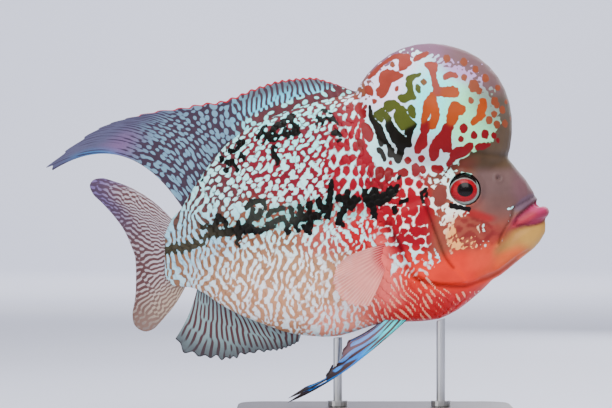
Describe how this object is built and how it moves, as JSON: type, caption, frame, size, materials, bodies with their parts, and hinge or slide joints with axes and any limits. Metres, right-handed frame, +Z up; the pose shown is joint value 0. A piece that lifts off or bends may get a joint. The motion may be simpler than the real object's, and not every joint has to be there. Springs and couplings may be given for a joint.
{
  "type": "flowerhorn cichlid display model",
  "caption": "Life-size flowerhorn cichlid with a tall head hump, spread fins and trailing dorsal filament, held by rods on a plain flat base.",
  "frame": {"origin": "centre of the underside of the stand's base, on the surface that it rests on", "axes": "+X towards the fish's snout, +Y towards its left flank, +Z up"},
  "size_m": [0.2836, 0.092, 0.2202],
  "materials": {
    "skin_head": "wet fish skin, mauve and red with mint marks",
    "skin_body": "scaled fish skin, red to tan with pearl marks and a black band",
    "lips": "moist pink and beige lip skin",
    "eye": "red iris, black pupil, glossy",
    "fin": "mauve fin membrane with mint and teal dashes",
    "fin_pale": "pale pink translucent fin membrane",
    "fin_blue": "sky-blue streaked fin membrane",
    "stand_wood": "dark satin wood",
    "stand_steel": "satin steel rod"
  },
  "bodies": {
    "root": {"head": "skin_head", "hump": "skin_head", "upper_jaw": "lips", "lower_jaw": "lips", "gill_cover_right": "skin_head", "gill_cover_left": "skin_head", "eye_right": "eye", "eye_left": "eye", "torso_front": "skin_body", "torso_rear": "skin_body", "tail_peduncle": "skin_body", "dorsal_fin_spiny": "fin", "dorsal_fin_soft": "fin", "caudal_fin": "fin", "anal_fin": "fin", "pectoral_fin_right": "fin_pale", "pectoral_fin_left": "fin_pale", "pelvic_fin_right": "fin_blue", "pelvic_fin_left": "fin_blue", "stand_base": "stand_wood", "stand_rod_front": "stand_steel", "stand_rod_rear": "stand_steel"}
  },
  "joints": []
}
